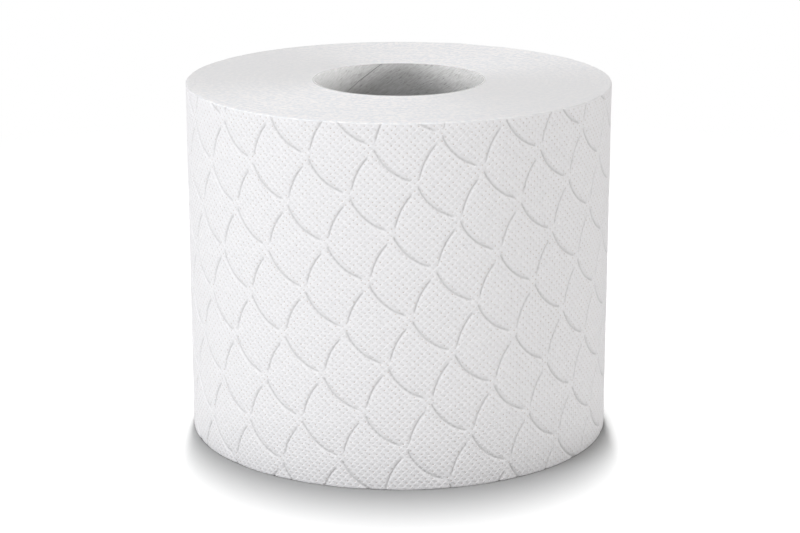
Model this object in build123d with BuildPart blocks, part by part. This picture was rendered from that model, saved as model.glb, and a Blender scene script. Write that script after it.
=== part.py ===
from build123d import *
import os
from math import atan2, ceil, degrees, pi

# Toilet paper roll standing on its end: an embossed tissue web wound on a card core
# Millimetres, +Z up along the core, origin at the centre of the lower end, front towards -Y

# Wound web
sheet_width = 95.0
roll_diameter = 113.5
sheet_thickness = 0.4
tail_angle = 70.0

# Card core, sawn flush with the web
core_bore = 45.2
core_wall = 0.5

# Fish-scale embossing, laid out on the wall rolled out flat: X along the web and Y up
long_step = Vector(10.82, -9.3)
short_step = Vector(6.03, 12.5)
node_beside_front = -1.8
node_height = 66.8

# Gaps that the grooves leave at the corners of the scales, and the bow of the long ones
long_start_gap = 0.6
long_end_gap = 1.7
long_bow = -1.35
short_start_gap = 2.1
short_end_gap = 2.8

# Section of a groove where it is deepest
groove_depth = 0.5
groove_width = 0.7

# Share by which a groove's floor runs on past the point where it leaves the wall
floor_overrun = 1.25

# Last turn of the web: two half circles whose radii end half a sheet apart, at the tail's step
core_radius = core_bore / 2 + core_wall
under_radius = (roll_diameter - sheet_thickness) / 2
tail_radius = under_radius + sheet_thickness / 2
tail_centre = Vector(sheet_thickness / 2, 0, 0).rotate(Axis.Z, tail_angle)
tail_run = pi * tail_radius
wall_run = tail_run + pi * under_radius
front_run = wall_run * ((270 - tail_angle) % 360) / 360


def wall_plane(run, height, tilt):
    """Plane that touches the wall, a run of web back from the tail, turned by a tilt in the wall."""
    under_tail = run > tail_run
    centre = Vector(0, 0, 0) if under_tail else tail_centre
    radius = under_radius if under_tail else tail_radius
    turned = pi + (run - tail_run) / under_radius if under_tail else run / tail_radius
    outward = Vector(1, 0, 0).rotate(Axis.Z, tail_angle + degrees(turned))
    level = Vector(0, 0, 1).cross(outward)
    touch = centre + outward * radius + Vector(0, 0, height)
    return Plane(origin=touch, x_dir=level.rotate(Axis(touch, outward), tilt), z_dir=outward)


def groove_planes(step, start_gap, end_gap):
    """Planes at the middles of a family of grooves, clear of the tail and at least a quarter on the wall."""
    half = (step.length - start_gap - end_gap) / 2
    middle = Vector(front_run + node_beside_front, node_height) + step.normalized() * (start_gap + half)
    tilt = degrees(atan2(step.Y, step.X))
    margin = abs(half * step.Y / step.length) / 2
    reach = ceil((wall_run + sheet_width) / min(long_step.length, short_step.length))
    planes = []
    for along in range(-reach, reach):
        for up in range(-reach, reach):
            spot = middle + long_step * along + short_step * up
            if half < spot.X < wall_run - half and -margin < spot.Y < sheet_width + margin:
                planes.append(wall_plane(spot.X, spot.Y, tilt))
    return planes


def groove_ends(step, start_gap, end_gap):
    """Half the length of a groove, and how far the round wall falls away from its plane there."""
    half = (step.length - start_gap - end_gap) / 2
    fall = (half * step.X / step.length) ** 2 / roll_diameter
    return half, fall


def v_groove(*floor):
    """V-shaped cut along a floor of straight runs, open towards +Z."""
    height = 2 * groove_depth
    flank = groove_width / groove_depth * height / 2
    with BuildPart() as cut:
        with BuildLine() as run:
            Polyline(*floor)
        across = Vector(0, 0, 1).cross(run.line % 0)
        with BuildSketch(Plane(origin=run.line @ 0, x_dir=across, z_dir=run.line % 0)):
            with BuildLine():
                Polyline((-flank, height), (0, 0), (flank, height), close=True)
            make_face()
        sweep(path=run.line, transition=Transition.RIGHT)
    return cut.part


# Long groove, bowed like a scale's lower edge: deepest in the middle, fading out at both ends
half, fall = groove_ends(long_step, long_start_gap, long_end_gap)
bottom = Vector(0, long_bow, -groove_depth)
left_end = bottom + (Vector(-half, 0, -fall) - bottom) * floor_overrun
right_end = bottom + (Vector(half, 0, -fall) - bottom) * floor_overrun
long_groove = v_groove(left_end, bottom, right_end)

# Short groove, a scale's side: blunt and deepest at its lower end, fading out upwards
half, fall = groove_ends(short_step, short_start_gap, short_end_gap)
lower_end = Vector(-half, 0, -fall - groove_depth)
upper_end = lower_end + (Vector(half, 0, -fall) - lower_end) * floor_overrun
short_groove = v_groove(lower_end, upper_end)

# Wound web: the two halves of the last turn over the solid of the turns below, bored for the core
with BuildPart() as tissue_roll:
    for centre, radius, start in ((tail_centre, tail_radius, 0), (Vector(0, 0, 0), under_radius, 180)):
        outward = Vector(1, 0, 0).rotate(Axis.Z, tail_angle + start)
        with BuildSketch(Plane(origin=centre, x_dir=outward, z_dir=outward.cross(Vector(0, 0, 1)))):
            Rectangle(radius, sheet_width, align=(Align.MIN, Align.MIN))
        revolve(axis=Axis(centre, (0, 0, 1)), revolution_arc=180)
    with Locations((0, 0, sheet_width)):
        Hole(core_radius, depth=sheet_width)
    with Locations(*groove_planes(long_step, long_start_gap, long_end_gap)):
        add(long_groove, mode=Mode.SUBTRACT)
    with Locations(*groove_planes(short_step, short_start_gap, short_end_gap)):
        add(short_groove, mode=Mode.SUBTRACT)

# Card core
with BuildPart() as core_tube:
    with BuildSketch():
        Circle(core_radius)
        Circle(core_bore / 2, mode=Mode.SUBTRACT)
    extrude(amount=sheet_width)

os.makedirs("parts", exist_ok=True)
for piece, name in ((tissue_roll, "tissue_roll"), (core_tube, "core_tube")):
    piece.part.label = name
    export_step(piece.part, f"parts/{name}.step")
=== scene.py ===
# %% [markdown]
# # A toilet paper roll standing on its end
# The real thing is one long web of soft tissue, pressed with a fish-scale pattern and wound on a
# tube of grey card. The CAD frame gives its size and place. Here the web gets its puffed scales,
# its pin-dot texture and its sawn ends, and the card gets its fibres and its spiral seam.

# %% Load the frame and keep its box
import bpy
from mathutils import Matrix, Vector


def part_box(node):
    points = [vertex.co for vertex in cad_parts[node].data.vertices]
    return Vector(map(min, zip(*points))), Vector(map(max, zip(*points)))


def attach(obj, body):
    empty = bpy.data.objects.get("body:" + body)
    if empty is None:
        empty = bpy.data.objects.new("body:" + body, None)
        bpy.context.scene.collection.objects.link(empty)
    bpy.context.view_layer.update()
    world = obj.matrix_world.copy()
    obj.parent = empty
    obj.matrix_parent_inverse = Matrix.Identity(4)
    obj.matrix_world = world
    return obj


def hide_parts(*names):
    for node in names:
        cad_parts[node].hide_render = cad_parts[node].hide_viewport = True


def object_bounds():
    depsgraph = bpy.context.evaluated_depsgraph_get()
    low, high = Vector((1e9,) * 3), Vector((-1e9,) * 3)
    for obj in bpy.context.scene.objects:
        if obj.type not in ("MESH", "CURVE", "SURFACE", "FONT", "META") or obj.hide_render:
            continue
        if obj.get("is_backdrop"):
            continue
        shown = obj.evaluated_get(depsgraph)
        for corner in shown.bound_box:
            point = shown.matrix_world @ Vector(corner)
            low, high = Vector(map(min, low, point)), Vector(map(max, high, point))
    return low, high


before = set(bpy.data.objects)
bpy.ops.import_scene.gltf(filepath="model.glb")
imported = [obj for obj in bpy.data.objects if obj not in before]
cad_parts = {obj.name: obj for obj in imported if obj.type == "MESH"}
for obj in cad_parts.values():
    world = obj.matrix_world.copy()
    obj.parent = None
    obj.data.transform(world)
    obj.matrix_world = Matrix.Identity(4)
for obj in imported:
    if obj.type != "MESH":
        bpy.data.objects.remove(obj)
cad_box = [list(corner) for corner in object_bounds()]

from math import atan2, cos, exp, hypot, pi, radians, sin, tau

import bmesh
import bpy
from mathutils import Matrix, Vector

print("CAD nodes:", sorted(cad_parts))

# %% [markdown]
# ## Sizes from the frame
# Everything is in metres. The height, the radius and the core come from the CAD solids, so the
# dressed roll sits exactly over them. The radius is read at the front, where the last turn is
# round about the core's own axis; towards the tail, the web stands one sheet further out.

# %% Sizes of the roll and its core
MM = 0.001
roll_low, roll_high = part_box("tissue_roll")
core_low, core_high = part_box("core_tube")
roll_height = roll_high.z - roll_low.z
under_radius = -roll_low.y
core_radius = (core_high.x - core_low.x) / 2
sheet_thickness = 0.4 * MM
tail_angle = radians(70)
wall_run = tau * (under_radius + sheet_thickness / 4)
front_run = wall_run * ((radians(270) - tail_angle) / tau)
print(f"roll {roll_height / MM:.1f} mm high and {2 * under_radius / MM:.1f} mm across,")
print(f"with a web of {wall_run / MM:.1f} mm a turn")

# %% [markdown]
# ## The camera
# The photograph looks down a little through a long lens, from about 0.6 m, so the top is a flat
# ellipse and the sides hardly converge. The lens is worked out from the picture's scale: a focal
# length in pixels, times the sensor's width, over the picture's width.

# %% Place the camera
picture_width = 800
focal_pixels = 2259
camera_distance = 616 * MM
camera_pitch = radians(15.69)
aim = Vector((0.27 * MM, 0, 43.1 * MM))
camera = bpy.data.objects.new("camera", bpy.data.cameras.new("camera"))
camera.data.sensor_width = 36
camera.data.lens = camera.data.sensor_width * focal_pixels / picture_width
camera.location = aim + camera_distance * Vector((0, -cos(camera_pitch), sin(camera_pitch)))
camera.rotation_euler = (pi / 2 - camera_pitch, 0, 0)
bpy.context.scene.collection.objects.link(camera)
bpy.context.scene.camera = camera
print(f"camera: {camera.data.lens:.1f} mm lens at {camera.location.length:.3f} m")

# %% [markdown]
# ## One fish scale
# The pressed pattern repeats in two slanting steps. Along the long step runs a bowed groove, a
# scale's lower edge; along the short step runs a straighter one, its side. The grooves stop short
# of the corners. On the web laid flat, a place is counted in scales: u along the long step and v
# along the short one, so the grooves lie where u or v is a whole number.

# %% Layout of the scales on the flat web
long_step = Vector((10.82, -9.30)) * MM
short_step = Vector((6.03, 12.50)) * MM
scale_corner = Vector((front_run - 1.8 * MM, 66.8 * MM))
long_share = (0.045, 0.88)
short_share = (0.15, 0.80)
long_bow = 1.35 * MM
short_bow = 0.6 * MM
scale_area = long_step.x * short_step.y - long_step.y * short_step.x
scale_width = scale_area / short_step.length
scale_height = scale_area / long_step.length
below_long = Vector((long_step.y, -long_step.x)).normalized()
left_of_short = Vector((-short_step.y, short_step.x)).normalized()
print(f"a scale is {scale_width / MM:.1f} mm by {scale_height / MM:.1f} mm")


def bow(share, span, height):
    """How far a groove stands out from the straight line between two corners."""
    t = (share - span[0]) / (span[1] - span[0])
    return 4 * height * t * (1 - t) if 0 < t < 1 else 0.0


def flat_place(u, v):
    """Place on the flat web: along the web, and up."""
    place = scale_corner + long_step * u + short_step * v
    place += below_long * bow(u % 1, long_share, long_bow)
    return place + left_of_short * bow(v % 1, short_share, short_bow)


# %% [markdown]
# ## How hard the press went
# A groove is a narrow valley. The long ones are steep on the lower side and run out softly on the
# upper side, which draws the soft shade inside each scale's edge, both in the mesh and as painted
# shade by the attribute kept below. The short ones are a little shallower. Every groove fades out
# at its two ends.

# %% Pressing of the web at any place on it
groove_depth = 0.36 * MM
groove_half_width = 0.25 * MM
soft_shoulder = 1.0 * MM
soft_share = 0.34
short_groove_share = 0.9
fade_run = 0.7 * MM


def fade(share, span, length):
    """1 along a groove, falling to 0 over a short run at its two ends."""
    ends = min(share - span[0], span[1] - share) * length / fade_run + 0.5
    t = min(max(ends, 0.0), 1.0)
    return t * t * (3 - 2 * t)


def valley(distance, width):
    """Section of a groove: 1 in its middle, falling to 0 at its sides."""
    return exp(-((distance / width) ** 2))


def pressed(u, v):
    """How hard the web is pressed, from 0 on a scale to 1 in the middle of a groove."""
    beside_short = (u - round(u)) * scale_width
    above_long = (v - round(v)) * scale_height
    long_groove = valley(above_long, groove_half_width)
    if above_long > 0:
        shoulder = valley(above_long, soft_shoulder)
        long_groove = (1 - soft_share) * long_groove + soft_share * shoulder
    short_groove = short_groove_share * valley(beside_short, groove_half_width)
    long_groove *= fade(u % 1, long_share, long_step.length)
    short_groove *= fade(v % 1, short_share, short_step.length)
    return max(long_groove, short_groove)


print(f"grooves {groove_depth / MM:.2f} mm deep, fading out over {fade_run / MM:.1f} mm")

# %% [markdown]
# ## Mesh lines where they are needed
# A plain fine grid would need millions of faces to follow such narrow curved grooves. So the mesh
# lines are laid along the grooves themselves, in u and v, and crowd together beside them. The grid
# has to cover one turn of the web, so the corners of that rectangle are counted in scales first.

# %% Mesh lines that crowd beside the grooves
lines_per_scale = 21
crowding = 0.84


def crowded(line):
    """Place of a mesh line, in scales: close together near each groove."""
    whole, part = divmod(line, lines_per_scale)
    t = part / lines_per_scale
    return whole + t - crowding / tau * sin(tau * t)


print(f"mesh lines {crowded(1) * scale_height / MM:.2f} mm apart in a groove")


# %% Count the scales that cover one turn
def in_scales(place):
    """The scales counted along both steps to a place on the flat web, bows apart."""
    way = place - scale_corner
    u = (way.x * short_step.y - way.y * short_step.x) / scale_area
    v = (way.y * long_step.x - way.x * long_step.y) / scale_area
    return u, v


corners = [Vector((x, y)) for x in (0, wall_run) for y in (0, roll_height)]
us, vs = zip(*(in_scales(corner) for corner in corners))
spare = 2
start_u, start_v = int(min(us)) - spare, int(min(vs)) - spare
u_lines = (int(max(us)) + spare - start_u) * lines_per_scale
v_lines = (int(max(vs)) + spare - start_v) * lines_per_scale
print(f"grid of {u_lines} by {v_lines} mesh lines")

# %% [markdown]
# ## The flat web, as a slanting grid
# Every point of the grid goes to its place on the flat web, and down by how hard it was pressed.
# Between its grooves the tissue puffs up a little, so every scale is a shallow cushion. How hard
# each point was pressed is kept as an attribute, by which the finish paints the grooves greyer,
# partly as denser pressed tissue and partly as painted shade. Four cuts then trim the grid to one
# turn of the web, short of its rims.

# %% Lay out the grid and press it
puff = 0.08 * MM
fullness = 0.4


def cushion(u, v):
    """How far a scale has puffed up: 1 at its middle, 0 along its edges."""
    return ((sin(pi * u) * sin(pi * v)) ** 2) ** fullness


web = bmesh.new()
bmesh.ops.create_grid(web, x_segments=u_lines, y_segments=v_lines, size=0.5)
press_mark = web.verts.layers.float.new("pressed")
for vert in web.verts:
    u = start_u + crowded(round((vert.co.x + 0.5) * u_lines))
    v = start_v + crowded(round((vert.co.y + 0.5) * v_lines))
    vert[press_mark] = pressed(u, v)
    lift = puff * (cushion(u, v) - 1) - groove_depth * vert[press_mark]
    vert.co = (*flat_place(u, v), lift)
print(f"pressed grid: {len(web.faces)} faces, scales puffed up by {puff / MM:.2f} mm")

# %% Trim the grid to one turn
rim_round = 0.3 * MM


def trim(bm, point, normal):
    """Cut a mesh along a plane and drop what lies on the normal's side."""
    everything = bm.verts[:] + bm.edges[:] + bm.faces[:]
    bmesh.ops.bisect_plane(
        bm, geom=everything, plane_co=point, plane_no=normal, clear_outer=True
    )


trim(web, (0, rim_round, 0), (0, -1, 0))
trim(web, (0, roll_height - rim_round, 0), (0, 1, 0))
trim(web, (0, 0, 0), (-1, 0, 0))
trim(web, (wall_run, 0, 0), (1, 0, 0))
print(f"flat web: {len(web.faces)} faces")

# %% [markdown]
# ## Winding the web round
# The flat web keeps its own measure as a UV map, in metres, because the pin dots follow the web and
# not the room. Then each point is carried to its place on the last turn: the further from the tail,
# the closer to the core, until the web slips under its own tail one sheet lower.

# %% Keep the flat measure as a UV map
web_measure = web.loops.layers.uv.new("web")
for face in web.faces:
    for loop in face.loops:
        loop[web_measure].uv = loop.vert.co.xy
print(f"UV map {web_measure.name}, in metres along and up the web")

# %% Wrap the flat web into the last turn
tail_lift = 0.2 * MM
tail_lift_run = 5 * MM
touching = 1e-6


def wound(co):
    """Place in the room of a point of the flat web."""
    turned = co.x / wall_run * tau
    tail = (1 + cos(turned)) / 2 if turned < pi else 0.0
    lifted = tail_lift * exp(-((co.x / tail_lift_run) ** 2))
    radius = under_radius + sheet_thickness * tail + lifted + co.z
    around = tail_angle + turned
    return Vector((radius * cos(around), radius * sin(around), co.y))


tail_verts = [vert for vert in web.verts if vert.co.x < touching]
under_verts = [vert for vert in web.verts if vert.co.x > wall_run - touching]
for vert in web.verts:
    vert.co = wound(vert.co)
print(f"tail edge of {len(tail_verts)} points, over {len(under_verts)} of the turn below")


# %% Bridge the tail to the turn below
def chain(verts):
    """Open edges that join a row of points."""
    row = set(verts)
    return [edge for edge in web.edges if edge.is_boundary and row.issuperset(edge.verts)]


step_edges = chain(tail_verts) + chain(under_verts)
for edge in step_edges:
    edge.smooth = False
bridge = bmesh.ops.bridge_loops(web, edges=step_edges)
print(f"tail step: {len(bridge['faces'])} faces")

# %% [markdown]
# ## Rims and sawn ends
# A log of wound tissue is sawn into rolls, so the ends are flat and their rims only slightly soft.
# Each open rim is extruded round the corner in three small steps, then joined by a triangle fill to
# a circle with far fewer points, because the end has no grooves to follow. From there rings go
# inwards, down to the card, and the two innermost are bridged, which closes the solid along the
# core.

# %% Places of the points on a rim and on an end
rim_step = 30
end_waver = 0.1 * MM
settle_run = 4 * MM
waver_spiral = 9 * MM
broad_waves, narrow_waves = 3, 5


def rim_place(level, up, step):
    """Where an open rim's points go, some degrees round the corner."""
    drop = rim_round * (1 - sin(radians(step)))
    inwards = rim_round * (cos(radians(step - rim_step)) - cos(radians(step)))

    def place(co):
        shrink = 1 - inwards / hypot(co.x, co.y)
        return Vector((co.x * shrink, co.y * shrink, level - up * drop))

    return place


def end_height(x, y):
    """The saw leaves the end a little uneven, but level beside the core."""
    around, radius = atan2(y, x), hypot(x, y)
    settled = min(1.0, max(0.0, radius - core_radius) / settle_run)
    broad = sin(broad_waves * around + 1.0)
    narrow = sin(narrow_waves * around - radius / waver_spiral)
    return -settled * end_waver * (1 + 0.5 * broad + 0.5 * narrow)


def end_place(level, up, radius):
    """Where the points of a ring on the end go."""

    def place(co):
        out = co.xy.normalized() * radius
        return Vector((out.x, out.y, level + up * end_height(out.x, out.y)))

    return place


print(f"ends uneven by up to {2 * end_waver / MM:.1f} mm, rims rounded by {rim_round / MM:.1f} mm")

# %% Build one sawn end
end_points = 192
end_rings = 8


def extruded_ring(edges, place):
    """Extrude a loop of edges, put the new points where place says, and give the new loop."""
    made = bmesh.ops.extrude_edge_only(web, edges=edges)["geom"]
    fresh = {item for item in made if isinstance(item, bmesh.types.BMVert)}
    for vert in fresh:
        vert.co = place(vert.co)
    lines = [item for item in made if isinstance(item, bmesh.types.BMEdge)]
    return [edge for edge in lines if fresh.issuperset(edge.verts)]


def open_rim(level):
    """The open edges of the wall near one end."""
    open_edges = [edge for edge in web.edges if edge.is_boundary]
    near = 2 * rim_round
    return [e for e in open_edges if all(abs(v.co.z - level) < near for v in e.verts)]


def sawn_end(level, up):
    """Close one end of the roll from its open rim to the core, and give the ring at the core."""
    ring = open_rim(level)
    for step in range(rim_step, 90 + rim_step, rim_step):
        ring = extruded_ring(ring, rim_place(level, up, step))
    outer = under_radius - 3 * rim_round
    made = bmesh.ops.create_circle(
        web, segments=end_points, radius=outer, matrix=Matrix.Translation((0, 0, level))
    )
    circle = list({edge for vert in made["verts"] for edge in vert.link_edges})
    bmesh.ops.triangle_fill(web, edges=ring + circle, normal=(0, 0, up), use_beauty=True)
    ring = circle
    for count in range(1, end_rings + 1):
        radius = outer + (core_radius - outer) * count / end_rings
        ring = extruded_ring(ring, end_place(level, up, radius))
    return ring


print(f"each end goes in to the card in {end_rings} rings of {end_points} points")

# %% Close both ends and the solid
weld_distance = 1e-7
wall_faces = set(web.faces)
upper_ring = sawn_end(roll_high.z, 1)
lower_ring = sawn_end(roll_low.z, -1)
for face in web.faces:
    face.material_index = 0 if face in wall_faces else 1
for edge in upper_ring + lower_ring:
    edge.smooth = False
bmesh.ops.bridge_loops(web, edges=upper_ring + lower_ring)
bmesh.ops.remove_doubles(web, verts=web.verts[:], dist=weld_distance)
bmesh.ops.recalc_face_normals(web, faces=web.faces[:])
open_edges = [edge for edge in web.edges if not edge.is_manifold]
print(f"wound roll: {len(web.faces)} faces, {len(open_edges)} open edges")


# %% Make it an object of the scene
def finished(name, bm):
    """Turn a bmesh into a smooth-shaded object of the scene."""
    for face in bm.faces:
        face.smooth = True
    mesh = bpy.data.meshes.new(name)
    bm.to_mesh(mesh)
    bm.free()
    piece = bpy.data.objects.new(name, mesh)
    bpy.context.scene.collection.objects.link(piece)
    return piece


wound_web = finished("wound_web", web)
wound_web.data.calc_loop_triangles()
print(f"{wound_web.name}: {len(wound_web.data.loop_triangles)} triangles")

# %% [markdown]
# ## Materials: small helpers
# Every finish is a node material. These helpers make a node, set its values and join its inputs in
# one line, so a material reads as a list of steps.

# %% Helpers for making nodes
def put(tree, socket, value):
    """Set a socket to a value, or join another node's output to it."""
    if isinstance(value, bpy.types.NodeSocket):
        tree.links.new(value, socket)
    else:
        socket.default_value = value


def add(tree, kind, settings=None, **inputs):
    """Make a node, set its settings, and fill its inputs by name, or as i0, i1 by number."""
    node = tree.nodes.new("ShaderNode" + kind)
    for key, value in (settings or {}).items():
        setattr(node, key, value)
    for key, value in inputs.items():
        numbered = key[0] == "i" and key[1:].isdigit()
        put(tree, node.inputs[int(key[1:]) if numbered else key.replace("_", " ")], value)
    return node


def new_finish(name):
    """A material with only its output and a Principled shader, and its node tree."""
    material = bpy.data.materials.new(name)
    material.use_nodes = True
    return material, material.node_tree, material.node_tree.nodes["Principled BSDF"]


def dress(tree, shader, colour, normal, roughness, gloss):
    """Join a colour and a bumped normal to the shader, and set how it shines."""
    put(tree, shader.inputs["Base Color"], colour)
    put(tree, shader.inputs["Normal"], normal)
    shader.inputs["Roughness"].default_value = roughness
    shader.inputs["Specular IOR Level"].default_value = gloss


print("helpers: put, add, new_finish, dress")


# %% Helpers for numbers, grain and colours
def sums(tree, operation, *values):
    """A Math node on numbers or sockets."""
    inputs = {f"i{n}": value for n, value in enumerate(values)}
    return add(tree, "Math", {"operation": operation}, **inputs).outputs[0]


def remap(tree, value, low, high, to_low=0.0, to_high=1.0):
    """A smooth step from one range of values to another."""
    ranges = {"From_Min": low, "From_Max": high, "To_Min": to_low, "To_Max": to_high}
    node = add(tree, "MapRange", {"interpolation_type": "SMOOTHSTEP"}, Value=value, **ranges)
    return node.outputs["Result"]


def grain(tree, place, scale, detail, roughness=0.5):
    """Uneven grain: a noise about 0.5."""
    look = {"Scale": scale, "Detail": detail, "Roughness": roughness}
    return add(tree, "TexNoise", Vector=place, **look).outputs[0]


def bumped(tree, height, strength, distance):
    """The surface's normal, tilted by a height."""
    return add(tree, "Bump", Height=height, Strength=strength, Distance=distance).outputs[0]


def blend(tree, share, first, second):
    """Mix two colours."""
    return add(tree, "Mix", {"data_type": "RGBA"}, i0=share, i6=first, i7=second).outputs[2]


print("helpers: sums, remap, grain, bumped, blend")

# %% [markdown]
# ## The pin pricks
# Besides the scales, the tissue carries fine pin pricks in slanting rows, 1.35 mm apart. A Voronoi
# texture with hardly any randomness is a plain lattice of points, so turned by 45 degrees on the
# web's own measure it gives the distance to the nearest prick, the way to it, and a random colour
# per prick that makes some deep and some shallow. A pin drags the tissue as it leaves, so each
# prick climbs steeply to a short lip on its lower right and falls away gently towards the next one;
# that lip is what catches the light.

# %% Pin pricks of the wall, measured in pitches
prick_pitch = 1.345 * MM
prick_slant = radians(45)
prick_scatter = 0.06
hollow_reach = (0.02, 0.36)
hole_reach = (0.04, 0.20)
lip_climb = 0.3
lip_reach = (0.08, 0.42)
lip_left = 0.08
hollow_share = 0.3
hollow_strength = (0.7, 1.0)
painted_prick_shade_range = (0.35, 0.8)


def pin_pricks(tree, measure):
    """The height of the pricked tissue, and how much shade is painted into its holes."""
    to_pitches = {"Rotation": (0, 0, prick_slant), "Scale": (1 / prick_pitch,) * 3}
    lattice = add(tree, "Mapping", Vector=measure, **to_pitches).outputs[0]
    evenly = {"Scale": 1.0, "Randomness": prick_scatter}
    pricks = add(tree, "TexVoronoi", {"voronoi_dimensions": "2D"}, Vector=lattice, **evenly).outputs
    chance = add(tree, "SeparateColor", Color=pricks["Color"]).outputs[0]
    wide = remap(tree, pricks["Distance"], *hollow_reach, 1.0, 0.0)
    hollow = sums(tree, "MULTIPLY", wide, remap(tree, chance, 0.0, 1.0, *hollow_strength))
    narrow = remap(tree, pricks["Distance"], *hole_reach, 1.0, 0.0)
    # Painted shade in the middle of each prick, darker in some pricks than in others.
    dark = sums(tree, "MULTIPLY", narrow, remap(tree, chance, 0.0, 1.0, *painted_prick_shade_range))
    way = add(tree, "VectorMath", {"operation": "SUBTRACT"}, i0=lattice, i1=pricks["Position"])
    aside = add(tree, "SeparateXYZ", Vector=way.outputs[0]).outputs
    ramp = sums(tree, "SUBTRACT", remap(tree, aside[0], 0.0, lip_climb), aside[0])
    middle = remap(tree, sums(tree, "ABSOLUTE", aside[1]), *lip_reach, 1.0, lip_left)
    lip = sums(tree, "MULTIPLY", ramp, middle)
    height = sums(tree, "SUBTRACT", lip, sums(tree, "MULTIPLY", hollow, hollow_share))
    return height, dark


print(f"pricks {prick_pitch / MM:.2f} mm apart, {(10 * MM / prick_pitch) ** 2:.0f} on a square cm")

# %% [markdown]
# ## The embossed tissue
# The wall's finish adds loose fibres, which are a fine noise, to the pricks' height. Its colour is
# a cloudy white with a brownish painted shade in the pricks, and greyer in the grooves, by the
# attribute that the press left on the mesh: partly denser pressed tissue, partly painted shade.

# %% Tissue of the wall
fibre_scale, fibre_share = 1900.0, 0.4
cloud_scale = 420.0
groove_edge, groove_shade_share = (0.1, 0.5), 0.6
prick_depth = 0.22 * MM
thin_tissue = (0.768, 0.764, 0.776, 1)
thick_tissue = (0.818, 0.81, 0.815, 1)
painted_prick_shade = (0.54, 0.46, 0.41, 1)
groove_painted_shade = (0.55, 0.545, 0.54, 1)


def tissue_of_wall():
    """White tissue, pricked all over and pressed in the grooves."""
    material, tree, shader = new_finish("embossed_tissue")
    measure = add(tree, "UVMap", {"uv_map": "web"}).outputs[0]
    pricks, dark = pin_pricks(tree, measure)
    fibres = sums(tree, "MULTIPLY", grain(tree, measure, fibre_scale, 3.0, 0.65), fibre_share)
    normal = bumped(tree, sums(tree, "ADD", fibres, pricks), 1.0, prick_depth)
    groove_shade_mask = add(tree, "Attribute", {"attribute_name": "pressed"}).outputs["Fac"]
    on_scale = remap(tree, groove_shade_mask, *groove_edge, 1.0, 0.0)
    paper = blend(tree, grain(tree, measure, cloud_scale, 3.0), thin_tissue, thick_tissue)
    # Painted shade in the pricks, kept out of the grooves.
    dotted = blend(tree, sums(tree, "MULTIPLY", dark, on_scale), paper, painted_prick_shade)
    # Greyer in grooves and on their soft upper sides: partly denser tissue, partly painted shade.
    grey = remap(tree, groove_shade_mask, 0.0, 1.0, 0.0, groove_shade_share)
    colour = blend(tree, grey, dotted, groove_painted_shade)
    dress(tree, shader, colour, normal, roughness=0.95, gloss=0.15)
    return material


wound_web.data.materials.append(tissue_of_wall())
print("wall:", wound_web.data.materials[0].name)

# %% [markdown]
# ## The sawn ends
# On the ends one sees the edges of all the turns. They are far too fine to model, about a third of
# a millimetre apart, so they are a wave over the distance from the axis, made ragged by noise. The
# wave also shifts by one turn's width per turn, because the web is a spiral and not a set of rings.
# Some turns are wound tighter and look a little greyer, which is a noise over the distance alone.
# Two opposite sides of each end are painted greyer than the two between them: a painted two-fold
# sheen and shade, the way the fine turns catch the lamps from one side.

# %% Distance from the axis, and turns round it
def around_axis(tree, axes):
    """How many turns round the axis a place is, from -0.5 to 0.5."""
    return sums(tree, "DIVIDE", sums(tree, "ARCTAN2", axes[1], axes[0]), tau)


def from_axis(tree, axes):
    """How far from the axis a place is."""
    level = add(tree, "CombineXYZ", X=axes[0], Y=axes[1]).outputs[0]
    return add(tree, "VectorMath", {"operation": "LENGTH"}, i0=level).outputs["Value"]


print("helpers: around_axis, from_axis")

# %% Frayed edges of the turns
turn_pitch = 0.34 * MM
fray_scale, fray = 700.0, 1.2
felt_scale, ridge_share = 1500.0, 0.3


def turn_edges(tree, place, radius, around):
    """The height of the turns' ragged edges."""
    spiral = sums(tree, "ADD", sums(tree, "DIVIDE", radius, turn_pitch), around)
    loose = sums(tree, "MULTIPLY", grain(tree, place, fray_scale, 3.0), fray)
    ridge = sums(tree, "SINE", sums(tree, "MULTIPLY", sums(tree, "ADD", spiral, loose), tau))
    felt = grain(tree, place, felt_scale, 4.0, 0.7)
    return sums(tree, "ADD", sums(tree, "MULTIPLY", ridge, ridge_share), felt)


print(f"about {(under_radius - core_radius) / turn_pitch:.0f} turns from the card to the wall")

# %% Tissue of the ends
painted_sheen_axis = radians(67)
felt_depth = 0.2 * MM
speck_scale, speck_edge = 1100.0, (0.38, 0.62)
tight_band, tight_edge, tight_grey = 1.1 * MM, (0.35, 0.65), 0.14
painted_shade_grey = 0.75
cool_lint = (0.83, 0.84, 0.86, 1)
warm_lint = (0.96, 0.94, 0.93, 1)
tight_lint = (0.62, 0.62, 0.63, 1)
painted_shade_lint = (0.74, 0.735, 0.735, 1)


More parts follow.
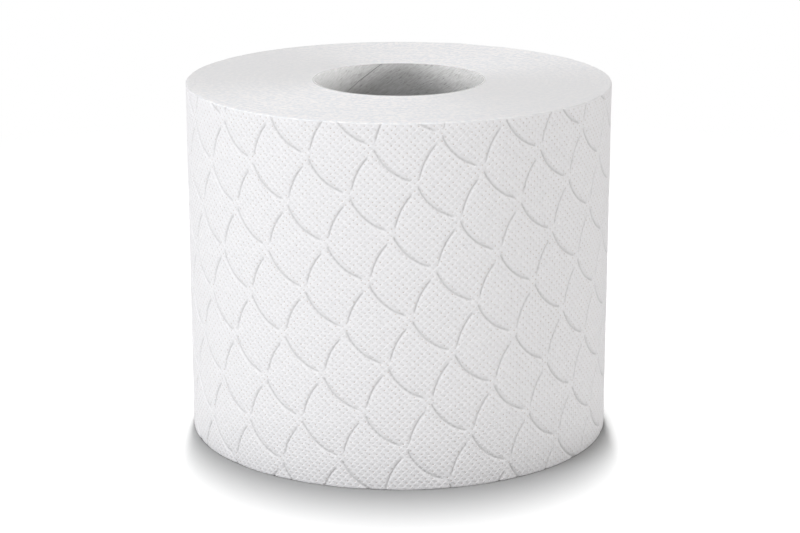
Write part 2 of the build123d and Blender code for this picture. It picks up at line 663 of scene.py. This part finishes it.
def tissue_of_ends():
    """Felted edges of all the turns, as the saw leaves them, with painted sheen and shade."""
    material, tree, shader = new_finish("sawn_tissue_end")
    place = add(tree, "TexCoord").outputs["Object"]
    axes = add(tree, "SeparateXYZ", Vector=place).outputs
    radius, around = from_axis(tree, axes), around_axis(tree, axes)
    normal = bumped(tree, turn_edges(tree, place, radius, around), 1.0, felt_depth)
    specks = remap(tree, grain(tree, place, speck_scale, 2.0), *speck_edge)
    lint = blend(tree, specks, cool_lint, warm_lint)
    bands = add(
        tree, "TexNoise", {"noise_dimensions": "1D"},
        W=sums(tree, "DIVIDE", radius, tight_band), Scale=1.0, Detail=3.0,
    ).outputs[0]
    tight = remap(tree, bands, *tight_edge, 0.0, tight_grey)
    layered = blend(tree, tight, lint, tight_lint)
    # Painted sheen and shade: paler along one axis across the end, greyer on the two sides between.
    off_sheen_axis = sums(tree, "SUBTRACT", around, painted_sheen_axis / tau)
    across_sheen_axis = sums(tree, "COSINE", sums(tree, "MULTIPLY", off_sheen_axis, 2 * tau))
    painted_sheen_shade = remap(tree, across_sheen_axis, 1.0, -1.0, 0.0, painted_shade_grey)
    colour = blend(tree, painted_sheen_shade, layered, painted_shade_lint)
    dress(tree, shader, colour, normal, roughness=1.0, gloss=0.1)
    return material


wound_web.data.materials.append(tissue_of_ends())
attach(wound_web, "root")
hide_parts("tissue_roll")
print("tissue:", [material.name for material in wound_web.data.materials])

# %% [markdown]
# ## The card core
# The core is wound from strips of grey recycled board, at a slant, edge to edge. Its shape is the
# plain tube of the CAD solid, so that stays, and the material draws the strip: fibres that run
# along it, and the dark butt seam where one turn of the strip meets the next.

# %% Strip that the core is wound from, measured in turns
seam_lead = 93 * MM
seam_top_angle = radians(102)
seam_edge = (0.0005, 0.0022)
wear_run, wear = (-0.14, 0.0), (0.25, 0.9)
fibre_slant, fibre_stretch = 0.55, 6.0


def card_strip(tree):
    """Where the strip's seam is, how dark it has worn, and the place on the strip."""
    axes = add(tree, "SeparateXYZ", Vector=add(tree, "TexCoord").outputs["Object"]).outputs
    around = around_axis(tree, axes)
    climb = sums(tree, "DIVIDE", sums(tree, "SUBTRACT", axes[2], roll_high.z), seam_lead)
    across = sums(tree, "ADD", sums(tree, "SUBTRACT", around, seam_top_angle / tau), climb)
    off_seam = sums(tree, "ABSOLUTE", sums(tree, "WRAP", across, 0.5, -0.5))
    seam = remap(tree, off_seam, *seam_edge, 1.0, 0.0)
    worn = remap(tree, climb, *wear_run, *wear)
    along = sums(tree, "SUBTRACT", sums(tree, "MULTIPLY", around, fibre_slant), climb)
    aside = sums(tree, "MULTIPLY", across, fibre_stretch)
    return seam, worn, add(tree, "CombineXYZ", X=aside, Y=along).outputs[0]


print(f"the strip's seam climbs {seam_lead / MM:.0f} mm a turn")

# %% Card of the core
card_depth = 0.15 * MM
streak_scale, streak_edge = 40.0, (0.3, 0.7)
fleck_scale, fleck_edge, fleck_share = 60.0, (0.60, 0.70), 0.75
top_rim_light_edge = (0.5, 0.9)
dark_board = (0.176, 0.174, 0.170, 1)
pale_board = (0.254, 0.252, 0.249, 1)
dark_fleck = (0.077, 0.075, 0.072, 1)
open_seam = (0.06, 0.059, 0.058, 1)
top_rim_painted_light = (0.36, 0.356, 0.35, 1)


def grey_card():
    """Grey board with fibres and flecks along the strip, a seam, and painted light on its top rim.
    """
    material, tree, shader = new_finish("grey_card")
    seam, worn, lay = card_strip(tree)
    streaks = grain(tree, lay, streak_scale, 4.0, 0.75)
    flecks = remap(tree, grain(tree, lay, fleck_scale, 2.0), *fleck_edge, 0.0, fleck_share)
    board = blend(tree, remap(tree, streaks, *streak_edge), dark_board, pale_board)
    flecked = blend(tree, flecks, board, dark_fleck)
    seamed = blend(tree, sums(tree, "MULTIPLY", seam, worn), flecked, open_seam)
    # Painted light: faces that look up, the top sawn rim, are painted paler; the lower rim stays
    # grey.
    facing = add(tree, "NewGeometry").outputs["True Normal"]
    upwards = add(tree, "SeparateXYZ", Vector=facing).outputs[2]
    colour = blend(tree, remap(tree, upwards, *top_rim_light_edge), seamed, top_rim_painted_light)
    normal = bumped(tree, sums(tree, "SUBTRACT", streaks, seam), 0.5, card_depth)
    dress(tree, shader, colour, normal, roughness=0.7, gloss=0.3)
    return material


core_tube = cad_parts["core_tube"]
core_tube.data.materials.clear()
core_tube.data.materials.append(grey_card())
print("core:", core_tube.data.materials[0].name)

# %% [markdown]
# ## The floor
# The photograph's ground is pure white, with only a soft shadow where the roll stands. Near the
# roll the floor is a plain grey that its own bright lamp, further down, turns white except in the
# shadow. Further away the camera simply sees white. Light that bounces from the floor to the roll
# meets a darker matt floor, which makes up for the bright lamp: the paper gets about as much light
# from below as a white floor would send it in plain daylight.

# %% White floor
floor_half = 6.0
white_from, white_at = 0.16, 0.40
shadow_grey = (0.29, 0.29, 0.29, 1)
bounce_grey = (0.2, 0.2, 0.2, 1)


def seen_ray(tree):
    """1 for what the camera sees, straight or mirrored or through glass, 0 for other light."""
    path = add(tree, "LightPath").outputs
    mirrored = sums(tree, "MAXIMUM", path["Is Glossy Ray"], path["Is Transmission Ray"])
    return sums(tree, "MAXIMUM", path["Is Camera Ray"], mirrored)


def mixed(tree, share, first, second):
    """Mix two shaders."""
    return add(tree, "MixShader", i0=share, i1=first.outputs[0], i2=second.outputs[0])


def white_floor():
    """A floor that is white to the camera outside the shadow, and matt grey to other light."""
    material, tree, shader = new_finish("white_floor")
    tree.nodes.remove(shader)
    near = add(tree, "BsdfDiffuse", Color=shadow_grey)
    far = add(tree, "Emission", Color=(1, 1, 1, 1), Strength=1.0)
    place = add(tree, "TexCoord").outputs["Object"]
    away = add(tree, "VectorMath", {"operation": "LENGTH"}, i0=place).outputs["Value"]
    looks = mixed(tree, remap(tree, away, white_from, white_at), near, far)
    bounce = add(tree, "BsdfDiffuse", Color=bounce_grey)
    whole = mixed(tree, seen_ray(tree), bounce, looks)
    put(tree, tree.nodes["Material Output"].inputs[0], whole.outputs[0])
    return material


ground = bmesh.new()
bmesh.ops.create_grid(ground, x_segments=1, y_segments=1, size=floor_half)
floor = finished("floor", ground)
floor.data.materials.append(white_floor())
floor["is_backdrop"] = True
print(f"floor {2 * floor_half:.0f} m wide, white from {white_at:.1f} m away")

# %% [markdown]
# ## The light
# The light is a pale surround, a little dimmer behind the roll, with one soft lamp from the left,
# so the right side stays a touch greyer. Blender can link a lamp to a collection, and then it
# lights those objects only. Three low lamps, at the sides and a weak one in front, light the card
# core and nothing else; they stand so low that their light fades out on its way down the tube. A
# long narrow lamp high up and behind lights the floor only: being narrow, it draws a crisp shadow
# at the sides, and being long, it lets the shadow run out softly towards the camera.

# %% Pale surround
low_light, high_light, high_from = 0.955, 1.065, 0.6
light_behind = 0.55
world = bpy.data.worlds.new("pale_surround")
world.use_nodes = True
sky = world.node_tree
way = add(sky, "SeparateXYZ", Vector=add(sky, "TexCoord").outputs["Generated"]).outputs
rising = remap(sky, way[2], 0.0, high_from, low_light, high_light)
behind = remap(sky, way[1], 0.0, 1.0, 1.0, light_behind)
seen = seen_ray(sky)
unseen = sums(sky, "SUBTRACT", 1.0, seen)
dome = sums(sky, "MULTIPLY", sums(sky, "MULTIPLY", rising, behind), unseen)
surround = sky.nodes["Background"].inputs
put(sky, surround["Strength"], sums(sky, "ADD", seen, dome))
put(sky, surround["Color"], (1, 0.99, 0.985, 1))
bpy.context.scene.world = world
bpy.context.scene.view_settings.view_transform = "Standard"
print("surround:", world.name)


# %% Lamp from the left
def soft_lamp(name, place, size, power, colour):
    """A square area lamp that looks at the middle of the roll."""
    lamp = bpy.data.lights.new(name, "AREA")
    lamp.size = size
    lamp.energy = power
    lamp.color = colour
    holder = bpy.data.objects.new(name, lamp)
    holder.location = place
    holder.rotation_euler = (aim - Vector(place)).to_track_quat("-Z", "Y").to_euler()
    bpy.context.scene.collection.objects.link(holder)
    return holder


cool_light = (0.91, 0.95, 1.0)
left_lamp = soft_lamp("left_lamp", (-0.80, -0.62, 0.89), 0.4, 6.1, cool_light)
print(f"{left_lamp.name}: {left_lamp.data.energy:.1f} W")


# %% Lamps for the core alone and for the floor alone
def light_only(name, piece, lamps):
    """Link lamps to a collection of one object, so that they light nothing else."""
    lit = bpy.data.collections.new(name)
    lit.objects.link(piece)
    for lamp in lamps:
        lamp.light_linking.receiver_collection = lit
        print(f"{lamp.name}: {lamp.data.energy:.0f} W, on {piece.name} only")


card_light, plain_light = (0.985, 0.995, 1.0), (1.0, 1.0, 1.0)
core_left = soft_lamp("core_left", (-0.785, -0.11, 0.16), 0.3, 21.5, card_light)
core_right = soft_lamp("core_right", (0.785, -0.11, 0.16), 0.3, 23.5, card_light)
core_front = soft_lamp("core_front", (0.0, -0.8, 0.18), 0.3, 5.0, card_light)
light_only("core_only", core_tube, [core_left, core_right, core_front])

floor_strip = soft_lamp("floor_strip", (-0.03, 0.84, 5.0), 0.24, 819.0, plain_light)
floor_strip.data.shape = "ELLIPSE"
floor_strip.data.size_y = 2.36
floor_strip.rotation_euler = (0, 0, 0)
light_only("floor_only", floor, [floor_strip])

# %% [markdown]
# ## Check the size
# The dressed roll must keep the CAD model's size, so how much its box grew is printed.

# %% Print how much the box grew
new_box = [list(corner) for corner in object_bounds()]
grown = [[round((b - a) / MM, 2) for a, b in zip(*pair)] for pair in zip(cad_box, new_box)]
print("box grew by", grown, "mm")
